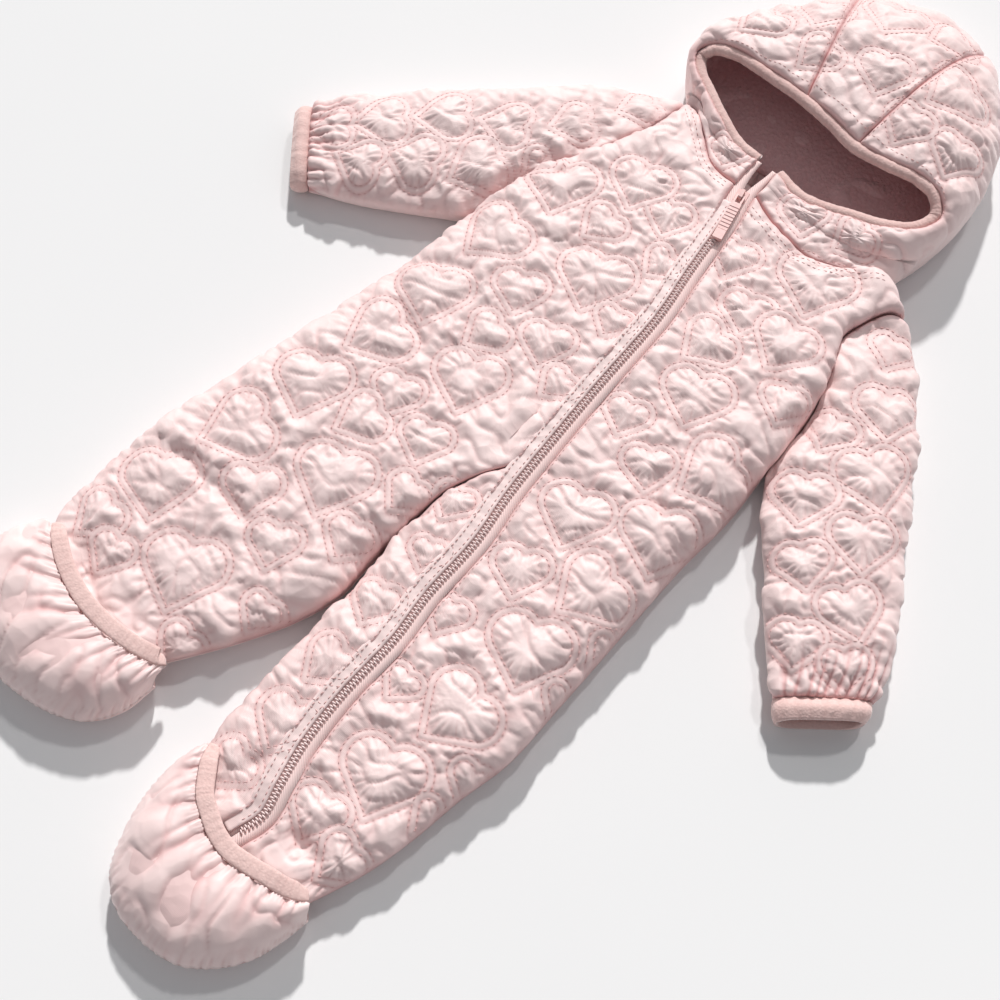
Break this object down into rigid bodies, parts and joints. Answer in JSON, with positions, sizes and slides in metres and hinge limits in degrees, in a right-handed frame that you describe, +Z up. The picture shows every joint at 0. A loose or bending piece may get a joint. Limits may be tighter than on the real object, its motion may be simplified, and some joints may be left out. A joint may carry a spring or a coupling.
{
  "type": "baby snowsuit",
  "caption": "Quilted one-piece baby snowsuit laid flat, with lined hood, full-length zip that turns down one leg, sleeves and gathered booties.",
  "frame": {"origin": "middle of the garment's box at the surface it lies on", "axes": "+Y from the booties to the hood, +X to the wearer's left, +Z up from the surface it lies on"},
  "size_m": [0.579, 0.8432, 0.0663],
  "materials": {
    "shell": "smooth pale pink woven shell with a soft sheen, quilted in hearts",
    "fleece": "dusty pink pile fleece",
    "binding": "short velour binding",
    "zip": "woven tape and nylon coil",
    "slider": "satin enamel"
  },
  "bodies": {
    "garment": {"back_left": "shell", "back_right": "shell", "cuff_left": "binding", "cuff_right": "binding", "foot_binding_left": "binding", "foot_binding_right": "binding", "foot_sole_left": "shell", "foot_sole_right": "shell", "foot_upper_left": "shell", "foot_upper_right": "shell", "front_left": "shell", "front_right": "shell", "hood_binding": "binding", "hood_centre": "shell", "hood_lining": "fleece", "hood_side_left": "shell", "hood_side_right": "shell", "leg_left_inner": "shell", "sleeve_left": "shell", "sleeve_right": "shell", "zip_coil": "zip", "zip_flap": "zip", "zip_slider": "slider", "zip_tape_left": "zip", "zip_tape_right": "zip"},
    "pull": {"zip_pull": "slider"}
  },
  "joints": [
    {"name": "pull_hinge", "type": "hinge", "parent": "garment", "child": "pull", "pos_m": [0.00106, 0.18858, 0.03702], "axis": [-0.9659, -0.2588, 0], "range_deg": [0, 150]}
  ]
}
